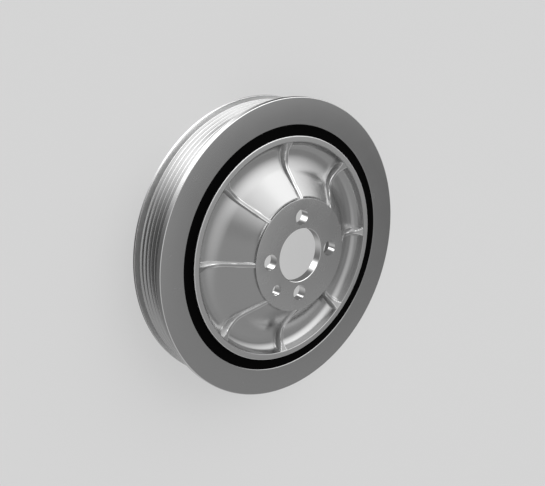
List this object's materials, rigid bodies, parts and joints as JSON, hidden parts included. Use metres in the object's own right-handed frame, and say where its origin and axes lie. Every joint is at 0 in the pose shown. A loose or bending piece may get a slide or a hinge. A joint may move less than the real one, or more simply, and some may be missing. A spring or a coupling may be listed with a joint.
{
  "type": "harmonic balancer",
  "caption": "Harmonic balancer with a raised bolting flange, a dished ribbed hub, a bonded rubber ring and a heavy outer ring with a grooved belt track",
  "frame": {"origin": "on the shaft's axis, in the plane of the inertia ring's rear face, which is the part's lowest face", "axes": "+Z is the shaft's axis and points to the front, where the bolting flange stands out; +X runs through the middle of a rib and of a bolt hole; +Y runs through the next bolt hole"},
  "size_m": [0.182, 0.182, 0.0431],
  "materials": {
    "hub": "machined and blasted, bright satin grey",
    "rubber_ring": "moulded, matt black",
    "inertia_ring": "turned, satin grey"
  },
  "bodies": {
    "root": {"hub": "hub", "rubber_ring": "rubber_ring", "inertia_ring": "inertia_ring"}
  },
  "joints": []
}
